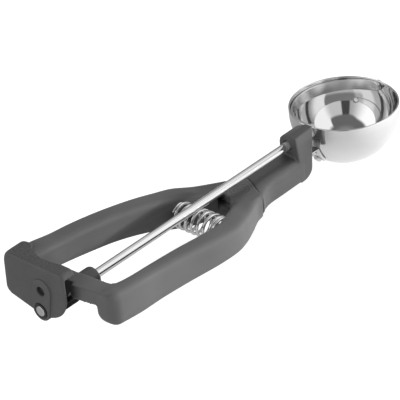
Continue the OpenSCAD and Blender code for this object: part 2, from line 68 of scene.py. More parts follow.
# Post, neck and hub. The lever's pivot is a vertical line at PIVOT_X
PIVOT_X = -82.0
NECK_TOP, NECK_BOTTOM, NECK_HALF = -6.0, -19.5, 7.0
LAP_Z = -12.75
POST_FRONT, POST_BACK, POST_TOP, POST_BOTTOM = -34.5, -43.5, 6.5, -21.7
POST_SLANT, POST_ARCH, POST_ROUND, POST_EDGE = 1.6, 5.7, 6.0, 4.0
HUB_R, LUG_R = 12.5, 9.5
HUB_SEAM = np.array([
    [-79.2, -12.9], [-77.7, -9.0], [-75.9, -5.4], [-74.1, -2.5], [-72.6, -0.1], [-71.4, 3.0]])
MOVE_GAP = 0.4

# Toothed sector, its tongue, and the gear head behind it
SECTOR_IN, SECTOR_OUT, TONGUE_OUT = 115.0, 122.5, 125.0
SECTOR_R = (SECTOR_IN + SECTOR_OUT) / 2
TONGUE_TOP, TONGUE_UNDER = 13.4, 6.15
TEETH, MODULE, PITCH_R = 8, 1.0, 5.0
TOOTH_STEP = MODULE * math.pi / SECTOR_R
HEAD_IN, POCKET_ARM, POCKET_UNDER, POCKET_TOP = 114.2, 118.6, 3.7, 14.3
PLATE_BACK, PLATE_FRONT, WEB_T = -213.0, -208.5, 3.4
COLLAR_R, COLLAR_LEN = 5.0, 15.0

# Stations of the arms and the neck: share of the length, inner edge, outer edge, and the shares of the rise
# that the underside and the top have reached
LEVER_LEN, LEVER_RISE_UNDER, LEVER_RISE_TOP, LEVER_ROUND = 116.5, 15.4, 19.4, 6.0
FRAME_LEN, FRAME_RISE_UNDER, FRAME_RISE_TOP, NECK_LEN = 126.0, 29, 30, 38.5
LEVER_ARM = np.array([
    [-0.023, 2, 12.9, 0, 0], [0.025, 2, 14.4, 0, 0], [0.101, 5.4, 19, 0.03, 0.03],
    [0.186, 10.6, 24, 0.12, 0.15], [0.278, 15.6, 28, 0.25, 0.26], [0.405, 18.3, 29.8, 0.38, 0.41],
    [0.574, 19.8, 30.1, 0.53, 0.57], [0.743, 22, 31.3, 0.70, 0.73], [0.878, 24.4, 33.4, 0.85, 0.88],
    [1, 24.8, 34.6, 1, 1]])
FRAME_ARM = np.array([
    [-0.032, -3, 13, 0, 0], [0.079, 4.4, 21.6, -0.02, 0.04], [0.175, 10, 25.8, -0.02, 0.16],
    [0.262, 12.6, 26.2, 0.09, 0.26], [0.381, 14.2, 26.6, 0.29, 0.39], [0.54, 14.4, 26, 0.5, 0.55],
    [0.698, 12.8, 24.4, 0.68, 0.7], [0.825, 11, 22.8, 0.82, 0.8], [0.921, 9, 21.6, 0.93, 0.9],
    [1, 8, 21, 1, 0.955]])
NECK = np.array([
    [-1.051, -7.2, 7, -1.5, 0], [-0.667, -7.4, 7.2, -1.5, 0], [-0.385, -8, 8.2, -1.1, 0],
    [-0.205, -10.2, 10.8, -0.6, 0], [-0.077, -12.8, 13, 0, 0], [0.103, -12.8, 15, 0, 0]])

# Cover of the gear head in rear view: centre (y, z) and radius of each corner, and the angles it covers
COVER_CORNERS = [
    ((16.9, 15.5), 8.1, 0, 90),
    ((-13.5, 20.8), 2.5, 90, 180),
    ((0, 12), 16, 180, 284.2),
    ((23.7, 4.0), 2.5, 284.2, 360)]
COVER_BACK, COVER_MOUTH, COVER_FRONT, COVER_FAR = -214.3, -212.8, -202.5, 26.2
COVER_WALL, COVER_EDGE, COVER_TURN, ROOF_UNDER, COVER_SIDE_BOTTOM = 1.9, 1.5, 6.0, 20.6, 8.5
SEAM_X, SEAM_Y, SEAM_R = -190.2, 1.5, 18.0
PAD_HIGH, PAD_HIGH_R, PAD_LOW_R, PAD_BEVEL = (-2.2, 11.8), 5.6, 5.2, 0.25
RECESS_R, RECESS_DEPTH, SHAFT_HOLE_R, SCREW_HOLE_R = 3.8, 0.9, 3.2, 2.4
SCREW_PLACE = (0, -1.6, 11)

# A cutter that has to pass an end of the object runs out to one of these
BEHIND, ASIDE, BELOW, ABOVE = -218, 40, -40, 60


# ---------------------------------------------------------------- surfaces

def to_row(points):
    """Rod coordinates in millimetres to the row's frame in metres: (p + origin) / 1000."""
    return (np.asarray(points, float) + ROD_ORIGIN) / 1000


def ring_quads(rings, points, wrap):
    """Faces between closed rings of equally many points, stored ring by ring. With wrap the last ring is also
    joined to the first."""
    i = np.arange(rings if wrap else rings - 1)[:, None]
    j = np.arange(points)[None, :]
    a = i * points + j
    b = i * points + (j + 1) % points
    c = ((i + 1) % rings) * points + (j + 1) % points
    d = ((i + 1) % rings) * points + j
    return np.stack([a, b, c, d], -1).reshape(-1, 4).tolist()


class Shell:
    """Points and faces of one or more closed surfaces, in rod coordinates."""

    def __init__(self):
        self.points, self.faces, self.count = [], [], 0

    def add(self, points, faces):
        points = np.asarray(points, float).reshape(-1, 3)
        self.faces += [[k + self.count for k in face] for face in faces]
        self.points.append(points)
        self.count += len(points)
        return self

    def tube(self, rings, wrap=False):
        """Closed surface through rings of equally many points. A point in the middle closes each end, unless
        the last ring wraps round to the first."""
        rings = np.asarray(rings, float)
        m, n = rings.shape[:2]
        faces = ring_quads(m, n, wrap)
        if wrap:
            return self.add(rings, faces)
        first, last = m * n, m * n + 1
        k = np.arange(n)
        around = (k + 1) % n
        faces += np.stack([np.full(n, first), around, k], -1).tolist()
        faces += np.stack([np.full(n, last), (m - 1) * n + k, (m - 1) * n + around], -1).tolist()
        ends = np.stack([rings[0].mean(0), rings[-1].mean(0)])
        return self.add(np.vstack([rings.reshape(-1, 3), ends]), faces)

    def mesh(self, name):
        made = bpy.data.meshes.new(name)
        made.from_pydata(to_row(np.vstack(self.points)).tolist(), [], self.faces)
        made.update()
        return made


def block(low, high):
    """Two rings of four corners, at the lowest and the highest z of a block."""
    x0, y0, z0 = low
    x1, y1, z1 = high
    ring = np.array([[x0, y0], [x1, y0], [x1, y1], [x0, y1]])
    return np.array([np.column_stack([ring, np.full(4, z)]) for z in (z0, z1)])


def turned_round(profile, axis, turns=96, about=(0.0, 0.0, 0.0)):
    """Surface of revolution: each (distance along the axis, radius) of the profile sweeps a circle."""
    profile = np.asarray(profile, float)
    angle = np.arange(turns) / turns * TAU
    along, radius = profile[:, 0][:, None], profile[:, 1][:, None]
    c, s = radius * np.cos(angle), radius * np.sin(angle)
    along = np.broadcast_to(along, c.shape)
    parts = {"x": (along, c, s), "z": (c, s, along)}[axis]
    return np.stack(parts, -1) + np.asarray(about, float)


def rounded_rod(x0, x1, r, edge, steps=6):
    """Profile of a rod from x0 to x1 with radius r whose two edges are quarter circles of radius edge."""
    a = np.linspace(0, math.pi / 2, steps)
    first = np.column_stack([x0 + edge - edge * np.cos(a), r - edge + edge * np.sin(a)])
    last = np.column_stack([x1 - edge + edge * np.sin(a), r - edge + edge * np.cos(a)])
    return np.vstack([first, last])


def through(stations, share):
    """Catmull-Rom curve through the stations: for each share of the way, the station's five values."""
    n = len(stations)
    t = np.clip(share, 0, 1) * (n - 1)
    i = np.minimum(t.astype(int), n - 2)
    u = (t - i)[:, None]
    a, b, c, d = (stations[np.clip(i + k, 0, n - 1)] for k in (-1, 0, 1, 2))
    square, cube = 2 * a - 5 * b + 4 * c - d, 3 * b - a - 3 * c + d
    return 0.5 * (2 * b + (c - a) * u + square * u**2 + cube * u**3)


def arm_rings(stations, length, side, under, over, round_r, around=96, along=120, square=0.5):
    """Rounded-square sections y = middle + half width * sgn(cos a)|cos a|^square, z likewise with sin a,
    carried along the stations. At the rear end the outer edge and the underside draw in by a quarter
    circle."""
    s = through(stations, np.linspace(0, 1, along))
    b = np.linspace(0, math.pi / 2, 10)[1:]
    tail = np.repeat(s[-1:], len(b), 0)
    tail[:, 0] += round_r * np.sin(b) / length
    s = np.vstack([s, tail])
    shrink = np.concatenate([np.zeros(along), round_r * (1 - np.cos(b))])
    low, high = NECK_BOTTOM + under * s[:, 3] + shrink, NECK_TOP + over * s[:, 4]
    inner, outer = s[:, 1], s[:, 2] - shrink
    half_w, half_h = (outer - inner) / 2, (high - low) / 2
    angle = np.arange(around) / around * TAU
    cos, sin = np.cos(angle), np.sin(angle)
    cos, sin = np.sign(cos) * np.abs(cos) ** square, np.sign(sin) * np.abs(sin) ** square
    x = np.broadcast_to((PIVOT_X - s[:, 0] * length)[:, None], (len(s), around))
    y = side * ((inner + outer) / 2)[:, None] + side * half_w[:, None] * cos
    z = ((low + high) / 2)[:, None] + half_h[:, None] * sin
    rings = np.stack([x, y, z], -1)
    return rings[:, ::-1] if side > 0 else rings


def ring_part(r_in, r_out, z0, z1, start, end, steps=64):
    """Part of a ring round the lever's pivot, between two angles from the line to the pinion. Angles above
    zero are on the near side."""
    a = math.pi + np.linspace(start, end, steps)[:, None]
    r = np.array([r_in, r_out, r_out, r_in])[None, :]
    z = np.broadcast_to(np.array([z0, z0, z1, z1])[None, :], (steps, 4))
    return np.stack([PIVOT_X + r * np.cos(a), r * np.sin(a), z], -1)


# ---------------------------------------------------------------- meshes

def shown(name, mesh, material, body, stands_for, sharp=0):
    """Puts a mesh into the scene as a piece that rides on a body. Edges of more than sharp degrees stay hard,
    and with 0 all are soft."""
    piece = bpy.data.objects.new(name, mesh)
    bpy.context.scene.collection.objects.link(piece)
    mesh.materials.clear()
    mesh.materials.append(material)
    mesh.shade_smooth()
    if sharp:
        mesh.set_sharp_from_angle(angle=math.radians(sharp))
    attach(piece, body)
    if stands_for:
        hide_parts(*stands_for)
    return piece


def outward(mesh):
    """Turns all faces the right way out."""
    bm = bmesh.new()
    bm.from_mesh(mesh)
    bmesh.ops.recalc_face_normals(bm, faces=bm.faces)
    bm.to_mesh(mesh)
    bm.free()
    return mesh


def finished(mesh, steps):
    """Runs a list of (modifier type, settings) over a mesh and returns the result as a new mesh."""
    holder = bpy.data.objects.new("work", mesh)
    bpy.context.scene.collection.objects.link(holder)
    for kind, settings in steps:
        modifier = holder.modifiers.new(kind.lower(), kind)
        for key, value in settings.items():
            setattr(modifier, key, value)
    graph = bpy.context.evaluated_depsgraph_get()
    result = bpy.data.meshes.new_from_object(holder.evaluated_get(graph))
    bpy.data.objects.remove(holder)
    return result


def moulded(name, solid, cuts, voxel, smooth):
    """Moulded body: the solids grown together on a lattice of voxel mm, the cuts taken out, and all edges
    eased."""
    lattice = ("REMESH", dict(mode="VOXEL", voxel_size=voxel / 1000))
    eased = finished(outward(solid.mesh(name)), [lattice])
    for cut in cuts:
        tool = bpy.data.objects.new("cut", outward(Shell().tube(cut).mesh("cut")))
        bpy.context.scene.collection.objects.link(tool)
        eased = finished(eased, [("BOOLEAN", dict(operation="DIFFERENCE", object=tool, solver="EXACT"))])
        bpy.data.objects.remove(tool)
    eased = finished(eased, [lattice, ("SMOOTH", dict(factor=0.5, iterations=smooth))])
    eased.name = name
    return eased


# ---------------------------------------------------------------- materials

class Wire:
    """A shader socket that works in Python expressions; each operator adds a Math node to its tree."""

    def __init__(self, finish, socket):
        self.finish, self.socket = finish, socket

    def _math(self, operation, a, b=None):
        values = {0: a} if b is None else {0: a, 1: b}
        return self.finish.node("ShaderNodeMath", {"operation": operation}, values)

    def __add__(self, other):
        return self._math("ADD", self, other)

    def __neg__(self):
        return self._math("MULTIPLY", self, -1)

    def __radd__(self, other):
        return self._math("ADD", other, self)

    def __sub__(self, other):
        return self._math("SUBTRACT", self, other)

    def __rsub__(self, other):
        return self._math("SUBTRACT", other, self)

    def __mul__(self, other):
        return self._math("MULTIPLY", self, other)

    def __rmul__(self, other):
        return self._math("MULTIPLY", other, self)

    def over(self, low, high):
        """0 below low, 1 above high, and a smooth step between."""
        settings = {"interpolation_type": "SMOOTHSTEP"}
        return self.finish.node("ShaderNodeMapRange", settings, {0: self, 1: low, 2: high})

    def size(self):
        return self._math("ABSOLUTE", self)


class Finish:
    """A material's tree; node() makes any node and returns its first output as a Wire."""

    def __init__(self, name, world=False):
        self.data = bpy.data.worlds.new(name) if world else bpy.data.materials.new(name)
        self.data.use_nodes = True
        self.tree = self.data.node_tree
        self.tree.nodes.clear()

    def node(self, kind, settings=None, values=None, out=0):
        made = self.tree.nodes.new(kind)
        for key, value in (settings or {}).items():
            setattr(made, key, value)
        for key, value in (values or {}).items():
            if isinstance(value, Wire):
                self.tree.links.new(value.socket, made.inputs[key])
            else:
                made.inputs[key].default_value = value
        return Wire(self, made.outputs[out]) if len(made.outputs) else made

    def place(self):
        """Object coordinates, which are the row's frame in metres."""
        return self.node("ShaderNodeTexCoord", out=3)

    def along(self, axis):
        """One coordinate of the place in metres: axis 0 is X, 1 is Y and 2 is Z."""
        return self.node("ShaderNodeSeparateXYZ", {}, {0: self.place()}, axis)

    def noise(self, scale, detail, stretch=(1, 1, 1)):
        where = self.node("ShaderNodeMapping", {}, {0: self.place(), 3: stretch})
        values = {0: where, "Scale": scale, "Detail": detail, "Roughness": 0.5}
        return self.node("ShaderNodeTexNoise", {}, values)

    def blend(self, factor, a, b):
        """Colour a where factor is 0 and b where it is 1."""
        return self.node("ShaderNodeMix", {"data_type": "RGBA"}, {0: factor, 6: a, 7: b}, out=2)

    def bump(self, height, strength, distance):
        values = {"Height": height, "Strength": strength, "Distance": distance}
        return self.node("ShaderNodeBump", {}, values)

    def surface(self, **values):
        named = {key.replace("_", " "): value for key, value in values.items()}
        self.node("ShaderNodeOutputMaterial", {}, {0: self.node("ShaderNodeBsdfPrincipled", {}, named)})
        return self.data


def grey(value):
    return (value, value, value, 1)


def moulded_plastic(name, shade, rough, grain, wear, speckle_above=None):
    """Dark moulded plastic: fine spark-erosion grain, faint flow marks, and a slight polish from hands. Above
    the given height in metres the grain is coarse and shows as speckles."""
    f = Finish(name)
    fine = f.noise(grain, 4)
    flow = f.noise(22, 3, (1, 2.5, 2.5))
    dust = f.noise(160, 2).over(0.62, 0.8)
    colour = f.blend(flow.over(0.3, 0.7), grey(shade * 0.93), grey(shade * 1.07))
    colour = f.blend(dust * 0.05, colour, grey(shade * 2.2))
    polish = flow.over(0.45, 0.75) * wear
    height = fine
    if speckle_above is not None:
        coarse = f.noise(1500, 2)
        up = f.along(2).over(speckle_above, speckle_above + 0.0006)
        speckle = f.blend(coarse.over(0.35, 0.65), grey(shade * 0.35), grey(shade * 1.25))
        colour = f.blend(up * 0.55, colour, speckle)
        height = fine + (coarse * 3 - fine) * up
    return f.surface(Base_Color=colour, Roughness=rough + 0.06 * fine - polish,
                     Normal=f.bump(height, 0.35, 0.00006), Specular_IOR_Level=0.5)


def polished_steel(name, shade, rough, stretch, scale=900, scratch=0.04, relief=0.12, painted_glint_span=None):
    """Bright steel: a mirror with very fine drawn or turned lines and a little smear. Between the two given
    lengths along X it loses its metal, so its pale base colour shows as a painted highlight."""
    f = Finish(name)
    lines = f.noise(scale, 2, stretch)
    smear = f.noise(35, 3)
    colour = f.blend(smear.over(0.35, 0.7), grey(shade), grey(shade * 0.95))
    metal = 0.95
    # Painted highlight: between these lengths the steel turns into pale diffuse paint that stands in for the
    # glint at the rod's end
    if painted_glint_span:
        metal = 0.95 - 0.8 * f.along(0).over(*painted_glint_span)
    rough = rough + scratch * lines + 0.03 * smear.over(0.4, 0.75)
    normal = f.bump(lines, relief, 0.00001)
    return f.surface(Base_Color=colour, Metallic=metal, Roughness=rough, Normal=normal)


# Lengths are in metres here, and the grain and the lines in cycles per metre
ROOF_SPECKLE_FROM, ROD_END_PAINTED_GLINT = 0.0508, (0.0450, 0.0475)
handle_plastic = moulded_plastic("handle_plastic", shade=0.13, rough=0.42, grain=2600, wear=0.06)
# The frame is moulded from the lever's plastic; its darker shade is painted shade for the shade that the
# lever and hub cast on it
frame_plastic_painted_shade = moulded_plastic("frame_plastic_painted_shade", shade=0.103, rough=0.42, grain=2600, wear=0.06)
cover_plastic = moulded_plastic("cover_plastic", 0.1, 0.5, grain=3200, wear=0.04,
                                speckle_above=ROOF_SPECKLE_FROM)
bush_plastic = moulded_plastic("bush_plastic", shade=0.02, rough=0.35, grain=3000, wear=0.03)
bowl_steel = polished_steel("bowl_steel", 0.78, 0.03, (1, 1, 1), scale=400, scratch=0.02)
# The rod's rear end carries a painted highlight in place of its glint
rod_steel = polished_steel("rod_steel", 0.8, 0.08, (0.05, 1, 1), painted_glint_span=ROD_END_PAINTED_GLINT)
strap_steel = polished_steel("strap_steel", 0.8, 0.32, (0.1, 1, 1), scale=1500, scratch=0.05)
spring_steel = polished_steel("spring_steel", 0.8, 0.14, (1, 0.2, 1), scale=1500, scratch=0.06)
scraper_steel = polished_steel("scraper_steel", 0.82, 0.17, (1, 1, 0.1), scale=1200, scratch=0.03,
                               relief=0.01)
black_steel = moulded_plastic("black_steel", shade=0.012, rough=0.35, grain=2500, wear=0.02)


# ---------------------------------------------------------------- bowl, scraper, rod, spring

def bowl():
    """Revolve of a wall: outer quarter circle and collar, a round rim, then inner collar and quarter
    circle."""
    quarter = np.linspace(-math.pi / 2, 0, 64)
    rim = np.linspace(0, math.pi, 12)
    inner = BOWL_R - BOWL_WALL
    half = BOWL_WALL / 2
    gap, pole = 0.3, 0.02
    profile = np.vstack([
        np.column_stack([BOWL_R * np.sin(quarter), BOWL_R * np.cos(quarter)]),
        np.column_stack([np.linspace(gap, COLLAR - half - gap, 5), np.full(5, BOWL_R)]),
        np.column_stack([COLLAR - half + half * np.sin(rim), BOWL_R - half + half * np.cos(rim)]),
        np.column_stack([np.linspace(COLLAR - half - gap, gap, 5), np.full(5, inner)]),
        np.column_stack([inner * np.sin(quarter[::-1]), inner * np.cos(quarter[::-1])])])
    profile[[0, -1], 1] = pole
    return outward(Shell().tube(turned_round(profile, "z", 256)).mesh("bowl_shell"))


def band():
    """Scraper: a thin band whose middle line is a half circle with short straight ends; its half width is
    sqrt(r^2 - d^2) past the poles, so the ends are round. It is tilted about the rod by its rest angle."""
    n_end, n_arc, n_grow, bevel, shoulder = 14, 120, 8, 0.12, 0.96
    beyond = BLADE_END * np.sin(np.linspace(math.pi / 2, 0, n_end))
    a = np.linspace(0, math.pi, n_arc)
    middle = BLADE_OUT - BLADE_T / 2
    x = np.concatenate([np.full(n_end, middle), middle * np.cos(a), np.full(n_end, -middle)])
    y = np.concatenate([-beyond, middle * np.sin(a), -beyond[::-1]])
    nx = np.concatenate([np.ones(n_end), np.cos(a), -np.ones(n_end)])
    ny = np.concatenate([np.zeros(n_end), np.sin(a), np.zeros(n_end)])
    ends = np.sqrt(np.maximum(BLADE_END**2 - beyond**2, 0.05**2))
    k = np.arange(n_arc)
    grow = np.minimum(1, np.minimum(k, k[::-1]) / n_grow)
    half = np.concatenate([ends, BLADE_END + (BLADE_HALF - BLADE_END) * grow, ends[::-1]])
    t = BLADE_T / 2
    section = np.array([
        [1, -t + bevel], [1, t - bevel], [shoulder, t], [-shoulder, t], [-1, t - bevel], [-1, -t + bevel],
        [-shoulder, -t], [shoulder, -t]])
    z = half[:, None] * section[None, :, 0]
    off = np.broadcast_to(section[None, :, 1], z.shape)
    px, py = x[:, None] + nx[:, None] * off, y[:, None] + ny[:, None] * off
    c, s = math.cos(REST_TILT), math.sin(REST_TILT)
    return outward(Shell().tube(np.stack([px, py * c - z * s, py * s + z * c], -1)).mesh("scraper_band"))


def coil():
    """Return spring: a wire along a helix about Y whose pitch is one wire at both ends and open between."""
    closed, per_turn, around = 1.2, 48, 12
    t = np.linspace(0, SPRING_TURNS, int(SPRING_TURNS * per_turn))
    rise = closed * (2 * WIRE_R * 1.05)
    length = SPRING_FAR - SPRING_NEAR - 2 * WIRE_R
    y = np.interp(t, [0, closed, SPRING_TURNS - closed, SPRING_TURNS], [0, rise, length - rise, length])
    a = TAU * t
    b = np.arange(around) / around * TAU
    q = SPRING_R + WIRE_R * np.cos(b)[None, :]
    rings = np.stack([SPRING_X + q * np.cos(a)[:, None],
                      SPRING_NEAR + WIRE_R + y[:, None] + WIRE_R * np.sin(b)[None, :],
                      SPRING_Z + q * np.sin(a)[:, None]], -1)
    return outward(Shell().tube(rings).mesh("spring_coil"))


def drive_rod():
    """Revolve: a long rod with an upset rear end and a peened head inside the bowl."""
    end_r, end_len, head_r, head_len = 2.5, 0.5, 2.8, 1.2
    rear = rounded_rod(ROD_BACK - end_len, ROD_BACK, end_r, 0.2)
    shaft = rounded_rod(ROD_BACK, ROD_FRONT, ROD_R, 0.05)
    head = rounded_rod(ROD_FRONT, ROD_FRONT + head_len, head_r, 0.5)
    whole = Shell()
    for profile in (rear, shaft, head):
        whole.tube(turned_round(profile, "x", 64))
    return outward(whole.mesh("drive_rod"))


def post_bush():
    """Bush of the post: a ring round the rod with a small bevel at its rear end."""
    back, bevel_end, front = POST_BACK - 0.1, POST_BACK + 0.1, POST_FRONT - 0.1
    profile = [[back, ROD_R + 0.3], [back, BUSH_R - 0.2], [bevel_end, BUSH_R],
               [front, BUSH_R], [front, ROD_R + 0.1], [bevel_end, ROD_R + 0.1]]
    return outward(Shell().tube(turned_round(profile, "x", 64), wrap=True).mesh("post_bush"))


def hub_cap():
    """Cap of the pivot: a flat disc with faint rings, height = w + w cos(2 pi r / pitch), and a sloping
    rim."""
    w, pitch, flat_r, cap_r = 0.04, 1.9, 6.4, 7.0
    r = np.linspace(0, flat_r, 60)
    z = NECK_TOP + w + w * np.cos(TAU * r / pitch)
    rim = [[NECK_TOP - 0.3, cap_r], [NECK_TOP - 1.0, cap_r]]
    profile = np.vstack([np.column_stack([z, r]), rim])
    return outward(Shell().tube(turned_round(profile, "z", about=(PIVOT_X, 0, 0))).mesh("hub_cap"))


def strap():
    """Strap: a flat strip from the post to the bowl, then down along the bowl on an arc of its radius. Its
    half width is that of the strip up to the last rivet and then sqrt(w^2 - d^2), so the foot is round."""
    w, t, level, start, n_flat = 4.5, 0.8, -9.5, -42, 5
    r = BOWL_R + t / 2 + 0.02
    first, rivet = math.asin(-level / r), math.radians(36)
    straight = np.linspace(start, -r * math.cos(first), n_flat + 1)[:-1]
    foot = rivet + w / r * np.sin(np.linspace(0, math.pi / 2, 14))
    turn = np.concatenate([np.linspace(first, rivet, 24)[:-1], foot])
    x = np.concatenate([straight, -r * np.cos(turn)])
    z = np.concatenate([np.full(n_flat, float(level)), -r * np.sin(turn)])
    nx = np.concatenate([np.zeros(n_flat), -np.cos(turn)])
    nz = np.concatenate([-np.ones(n_flat), -np.sin(turn)])
    past = r * np.maximum(turn - rivet, 0)
    half = np.concatenate([np.full(n_flat, w), np.sqrt(np.maximum(w**2 - past**2, 0.01))])
    corners = np.array([
        [-1, -0.8], [-0.97, -1], [0.97, -1], [1, -0.8], [1, 0.8], [0.97, 1], [-0.97, 1], [-1, 0.8]])
    off = corners[:, 1] * t / 2
    across = half[:, None] * corners[:, 0]
    rings = np.stack([x[:, None] + nx[:, None] * off, across, z[:, None] + nz[:, None] * off], -1)
    return outward(Shell().tube(rings).mesh("bowl_foot"))


shown("bowl_shell", bowl(), bowl_steel, "frame", ["bowl"])
shown("scraper_band", band(), scraper_steel, "rod", ["scraper"], sharp=35)
spring_piece = shown("spring_coil", coil(), spring_steel, "frame", ["return_spring"])
shown("post_bush", post_bush(), bush_plastic, "frame", ["front_bush"], sharp=35)
shown("hub_cap", hub_cap(), handle_plastic, "lever", ["pivot_cap"], sharp=35)
shown("bowl_foot", strap(), strap_steel, "frame", ["bowl_strap"], sharp=35)
shown("drive_rod", drive_rod(), rod_steel, "rod", ["rod"], sharp=35)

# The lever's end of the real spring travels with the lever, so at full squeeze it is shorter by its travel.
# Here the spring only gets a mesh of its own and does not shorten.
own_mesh(spring_piece)


# ---------------------------------------------------------------- handle

def post_rings():
    """Post: its rear view is a block with an arch of radius POST_ARCH on the far side of the rod. It runs
    from a slanted rear face, x = back + slant * y / half, to the front, and its underside rises there on a
    quarter circle: lift = r - sqrt(r^2 - d^2)."""
    reach, foot, draft, crest, crest_rise = 1.9, 1.4, 0.14, -2.2, 0.9
    reach_from, reach_height, round_from, round_height = -1, 5, -9, 12
    arch = np.linspace(math.radians(74), 0, 16)
    low_far, low_near = np.linspace(0, -math.pi / 2, 8), np.linspace(-math.pi / 2, -math.pi, 8)
    drop, side = POST_BOTTOM + POST_EDGE, NECK_HALF - POST_EDGE
    outline = np.vstack([
        [[-NECK_HALF, POST_TOP], [crest, POST_TOP]],
        np.column_stack([POST_ARCH * np.cos(arch), POST_ARCH * np.sin(arch)]),
        [[NECK_HALF, NECK_TOP]],
        np.column_stack([side + POST_EDGE * np.cos(low_far), drop + POST_EDGE * np.sin(low_far)]),
        np.column_stack([-side + POST_EDGE * np.cos(low_near), drop + POST_EDGE * np.sin(low_near)])])
    y, z = outline.T
    # The rear face slants on the near side and leans forward downwards. Above the rod the front reaches
    # further forward
    back = POST_BACK - foot + POST_SLANT * np.minimum(y, 0) / NECK_HALF + draft * (POST_TOP - z)
    front = POST_FRONT + reach * np.clip((z - reach_from) / reach_height, 0, 1)
    low = np.clip((round_from - z) / round_height, 0, 1)
    rings = []
    for share in np.concatenate([[0, 0.1], np.linspace(0.15, 1, 16)]):
        x = back + share * (front - back)
        d = np.clip(x - POST_FRONT + POST_ROUND, 0, POST_ROUND)
        lift = POST_ROUND - np.sqrt(np.maximum(POST_ROUND**2 - d**2, 0))
        rise = crest_rise * share * (z > POST_TOP - 0.01)
        rings.append(np.column_stack([x, y, z + lift * low + rise]))
    return rings


def hub_edge(gap):
    """Plan outline of the lever's hub: a circle round the pivot, flatter on the far side, that the S-shaped
    seam cuts off in front. The gap widens it."""
    first, last, flatter = 27.8, 281.4, 1.9
    a = np.linspace(first, last, 72)
    r = gap + HUB_R - flatter * np.interp(a, [first, 75, 200, 240], [0, 1, 1, 0])
    a = np.radians(a)
    round_part = np.column_stack([PIVOT_X + r * np.cos(a), r * np.sin(a)])
    return np.vstack([round_part, HUB_SEAM + [gap / 2, 0]])


def upright(outline, z0, z1):
    """A plan outline carried from z0 to z1."""
    return [np.column_stack([outline, np.full(len(outline), z)]) for z in (z0, z1)]


def slab(x_values, insets, near=-math.inf, top=math.inf, wall=0.0):
    """The cover's outline at each x, drawn in by the inset, and kept to y above near and z below top. What
    lies past COVER_FAR - COVER_TURN shrinks by sqrt(r^2 - d^2) / r, so the far rear edge is round in plan."""
    far, turn_r = COVER_FAR - COVER_TURN, COVER_TURN - wall
    rings = []
    for x, inset in zip(x_values, insets):
        y, z = hood_outline(inset).T
        d = COVER_TURN - np.clip(x - COVER_BACK, 0, COVER_TURN)
        round_end = np.sqrt(max(turn_r**2 - d**2, 0)) / turn_r
        y = np.where(y > far, far + (y - far) * round_end, y)
        rings.append(np.column_stack([np.full(len(y), x), np.maximum(y, near), np.minimum(z, top)]))
    return rings


def handle_frame():
    """Post, neck, lug, fixed arm, gear head and front bearing grown into one moulding."""
    body = Shell()
    body.tube(arm_rings(NECK, NECK_LEN, side=1, under=1, over=0, round_r=1, square=0.55))
    body.tube(arm_rings(FRAME_ARM, FRAME_LEN, 1, FRAME_RISE_UNDER, FRAME_RISE_TOP, round_r=0.5))
    body.tube(turned_round(rounded_rod(NECK_BOTTOM, LAP_Z, LUG_R, 0.4), "z", about=(PIVOT_X, 0, 0)))
    body.tube(post_rings())
    # Gear head: plate behind the sector, web under the tongue, front bearing
    plate_inset, plate_near, boss_r = 2.1, -6.5, 4.6
    body.tube(slab((PLATE_BACK, PLATE_FRONT), (plate_inset, plate_inset), plate_near))
    body.tube(turned_round(rounded_rod(PLATE_BACK, PLATE_FRONT, boss_r, 0.2), "x", 64))
    web = PIVOT_X - HEAD_IN
    under = np.array([
        [-4, 5.4], [12, 5.4], [12, 11.9], [17, 11.9], [18.9, 4], [4.7, -1.1], [0, -1.9], [-4, -1.3]])
    body.tube([np.column_stack([np.full(len(under), x), under]) for x in (web, web + WEB_T)])
    body.tube(turned_round(rounded_rod(web, web + COLLAR_LEN, COLLAR_R, 1.2), "x", 64))
    # The space between the arms, and the pocket for the tongue. Below the angle meet, which is in the fixed
    # arm, the pocket starts further back
    space_back, space_near, space_far, space_top = -164, -28.5, -4.5, 4
    start, meet, end = math.radians(-14), math.radians(-3.5), math.radians(20)
    lap = math.radians(0.1)
    rod_bore = [[POST_BACK - 8, BUSH_R + 0.05], [POST_FRONT + 8, BUSH_R + 0.05]]
    cuts = [
        upright(hub_edge(MOVE_GAP), LAP_Z, NECK_TOP + 8),
        block((space_back, space_near, NECK_BOTTOM - 1), (PIVOT_X + 3, space_far, space_top)),
        ring_part(HEAD_IN, TONGUE_OUT + MOVE_GAP, POCKET_UNDER, POCKET_TOP, meet - lap, end),
        ring_part(POCKET_ARM, TONGUE_OUT + 0.3, POCKET_UNDER + 0.1, POCKET_TOP - 0.1, start, meet + lap),
        cover_rebate(),
        turned_round(rod_bore, "x", 64)]
    return moulded("handle_frame", body, cuts, voxel=0.42, smooth=5)


def cover_rebate():
    """What the frame loses behind its seam with the cover: a strip between the cover's outline widened by
    more and the same outline drawn in by less, so that only what lies inside the cover's walls stays."""
    more, less, near_end, middle_y, middle_z = 2.5, 2.0, -8, 2, 12
    outer, inner = hood_outline(-more), hood_outline(less)
    inner[:, 1] = np.minimum(inner[:, 1], ROOF_UNDER - 0.1)
    # The points above the side's lower edge, in turn round the middle
    keep = np.flatnonzero((outer[:, 1] > COVER_SIDE_BOTTOM) & (outer[:, 0] > near_end))
    keep = keep[np.argsort(np.arctan2(outer[keep, 1] - middle_z, outer[keep, 0] - middle_y))]
    outer, inner = outer[keep], inner[keep]
    behind = np.full(len(outer), BEHIND + 1.0)
    strip = np.stack([
        np.column_stack([behind, outer]), np.column_stack([seam_front(outer[:, 0]), outer]),
        np.column_stack([seam_front(inner[:, 0]), inner]), np.column_stack([behind, inner])], 1)
    # A slight shift keeps the cutter's faces off the body's own
    return strip + [0.013, 0.017, 0.011]


def arm_top(x):
    """Height of the lever arm's top at length x, from its stations."""
    share = (PIVOT_X - x) / LEVER_LEN
    return NECK_TOP + LEVER_RISE_TOP * np.interp(share, LEVER_ARM[:, 0], LEVER_ARM[:, 4])


